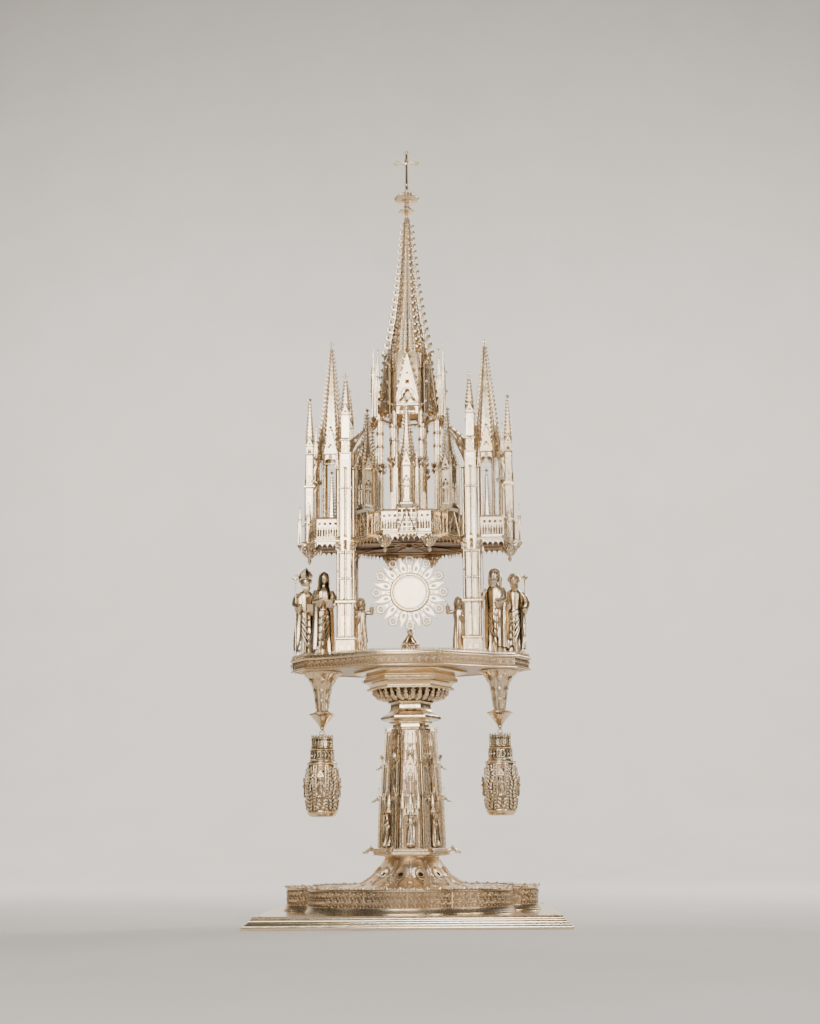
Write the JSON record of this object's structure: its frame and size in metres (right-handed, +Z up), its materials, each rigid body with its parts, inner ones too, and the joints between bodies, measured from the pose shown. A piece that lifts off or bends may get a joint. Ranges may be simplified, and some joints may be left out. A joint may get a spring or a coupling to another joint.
{
  "type": "monstrance",
  "caption": "Tall Gothic processional monstrance: lobed foot, niched hexagonal shaft, long tray with figures, rayed ostensory, openwork canopy and crocketed spire, with swinging pendants.",
  "frame": {"origin": "centre of the plinth's underside, on the surface it stands on", "axes": "+Z up along the spire; front faces -Y; +X to the right of a person looking at the front"},
  "size_m": [0.696, 0.67, 1.8892],
  "materials": {
    "gilt": "polished",
    "cast_gilt": "satin",
    "board": "matte",
    "iron": "satin",
    "glass": "gloss",
    "disc": "matte"
  },
  "bodies": {
    "stand": {"angel_left": "cast_gilt", "angel_right": "cast_gilt", "canopy_bosses": "gilt", "canopy_floor": "gilt", "canopy_parapet": "gilt", "canopy_piers": "gilt", "corbel_leaves": "cast_gilt", "cross": "gilt", "finial": "gilt", "flying_buttresses": "gilt", "foot_core": "board", "foot_dome": "gilt", "foot_gallery": "gilt", "gargoyles": "cast_gilt", "knop_plate": "gilt", "lantern_columns": "gilt", "lantern_gables": "gilt", "lantern_pinnacles": "gilt", "main_spire": "gilt", "neck_collar": "gilt", "niche_canopies": "gilt", "niche_statuettes": "cast_gilt", "outer_buttresses": "gilt", "parapet_turrets": "gilt", "pendant_brackets": "gilt", "pendant_saucers": "gilt", "plinth_core": "board", "plinth_cover": "gilt", "saint_inner_left": "cast_gilt", "saint_inner_right": "cast_gilt", "saint_outer_left": "cast_gilt", "saint_outer_right": "cast_gilt", "shaft_buttresses": "gilt", "shaft_core": "gilt", "side_spires": "gilt", "side_towers": "gilt", "tie_nuts": "iron", "tie_rod": "iron", "tray_corbel": "gilt", "tray_core": "board", "tray_fascia": "gilt", "tray_floor": "gilt", "tray_soffit": "gilt"},
    "link_left": {"link_left": "gilt"},
    "link_right": {"link_right": "gilt"},
    "pendant_left": {"pendant_crown_left": "gilt", "pendant_barrel_left": "gilt"},
    "pendant_right": {"pendant_crown_right": "gilt", "pendant_barrel_right": "gilt"},
    "ostensory": {"sun_rays": "gilt", "hinge_pin": "iron", "front_bezel": "gilt", "front_glass": "glass", "ostensory_foot": "gilt", "ostensory_stem": "gilt"},
    "lunette_door": {"back_bezel": "gilt", "back_glass": "glass", "exposition_disc": "disc"},
    "latch": {"door_latch": "gilt"}
  },
  "joints": [
    {"name": "left_link_swing", "type": "hinge", "parent": "stand", "child": "link_left", "pos_m": [-0.209, 0, 0.4315], "axis": [1, 0, 0], "range_deg": [-15, 15]},
    {"name": "left_pendant_swing", "type": "hinge", "parent": "link_left", "child": "pendant_left", "pos_m": [-0.209, 0, 0.42235], "axis": [0, 1, 0], "range_deg": [-15, 15]},
    {"name": "right_link_swing", "type": "hinge", "parent": "stand", "child": "link_right", "pos_m": [0.209, 0, 0.4315], "axis": [1, 0, 0], "range_deg": [-15, 15]},
    {"name": "right_pendant_swing", "type": "hinge", "parent": "link_right", "child": "pendant_right", "pos_m": [0.209, 0, 0.42235], "axis": [0, 1, 0], "range_deg": [-15, 15]},
    {"name": "ostensory_lift", "type": "slide", "parent": "stand", "child": "ostensory", "axis": [0, 0, 1], "range_m": [0, 0.008]},
    {"name": "lunette_door_hinge", "type": "hinge", "parent": "ostensory", "child": "lunette_door", "pos_m": [0.05, 0.0046, 0.77], "axis": [0, 0, -1], "range_deg": [0, 110]},
    {"name": "door_latch_turn", "type": "hinge", "parent": "ostensory", "child": "latch", "pos_m": [-0.05, 0.0069, 0.77], "axis": [0, -1, 0], "range_deg": [0, 90]}
  ]
}
